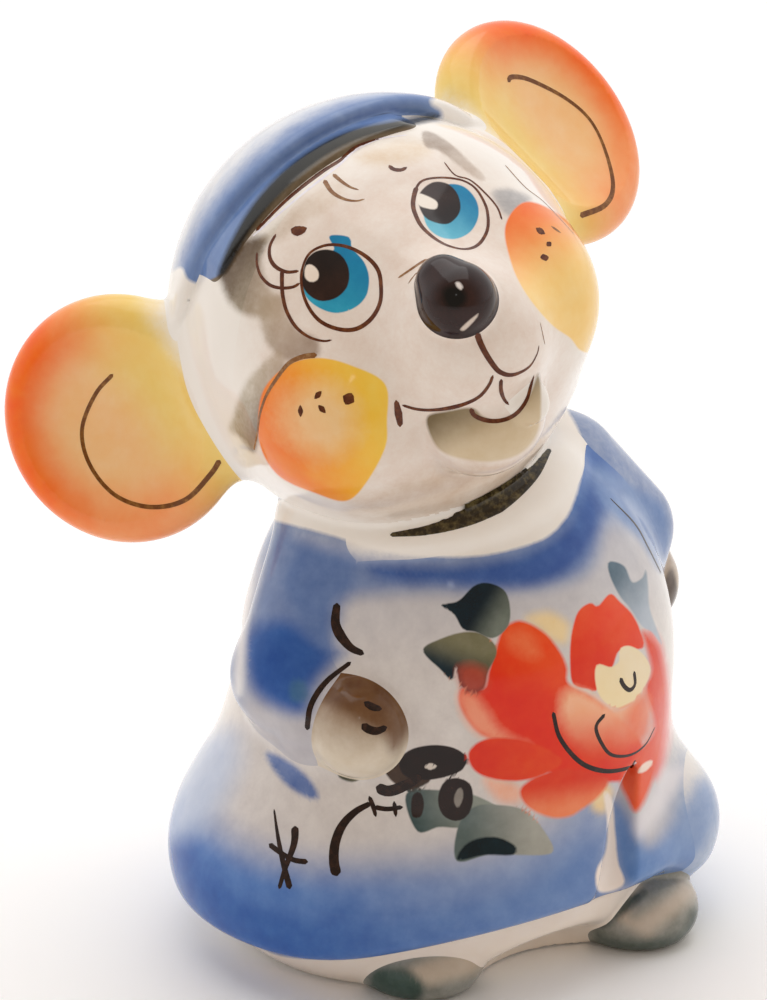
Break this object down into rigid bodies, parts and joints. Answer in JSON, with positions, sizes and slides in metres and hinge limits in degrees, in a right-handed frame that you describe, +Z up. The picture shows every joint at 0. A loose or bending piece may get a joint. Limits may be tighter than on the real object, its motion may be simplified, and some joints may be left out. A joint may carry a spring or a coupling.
{
  "type": "mouse figurine",
  "caption": "Hand-painted glazed ceramic mouse in a coat and cap, head tipped and looking up, standing on a flat hollow base.",
  "frame": {"origin": "on the floor, under the middle of the coat's hem, on the flat underside of the plinth", "axes": "+Z up; the mouse's body faces -Y; +X is the mouse's own left"},
  "size_m": [0.0608, 0.0483, 0.0801],
  "materials": {
    "white_glaze": "clear gloss glaze over white body",
    "coat_glaze": "hand-brushed blue under clear gloss glaze",
    "ear_glaze": "hand-brushed orange under clear gloss glaze",
    "fringe_glaze": "dry-brushed brown under clear gloss glaze",
    "nose_glaze": "dark brown under clear gloss glaze",
    "paw_glaze": "brown wash under clear gloss glaze",
    "foot_glaze": "grey-green wash under clear gloss glaze",
    "lip_glaze": "grey wash under clear gloss glaze",
    "bare_clay": "unglazed wiped foot"
  },
  "bodies": {
    "root": {"plinth": "bare_clay", "coat_body": "coat_glaze", "collar": "white_glaze", "head_front": "white_glaze", "head_back": "white_glaze", "cap": "coat_glaze", "fringe": "fringe_glaze", "muzzle": "white_glaze", "nose": "nose_glaze", "lower_lip": "lip_glaze", "front_teeth": "white_glaze", "ear_left": "ear_glaze", "ear_right": "ear_glaze", "sleeve_left": "coat_glaze", "sleeve_right": "coat_glaze", "paw_left": "paw_glaze", "paw_right": "paw_glaze", "foot_left": "foot_glaze", "foot_right": "foot_glaze", "coat_flap": "coat_glaze", "tail": "paw_glaze"}
  },
  "joints": []
}
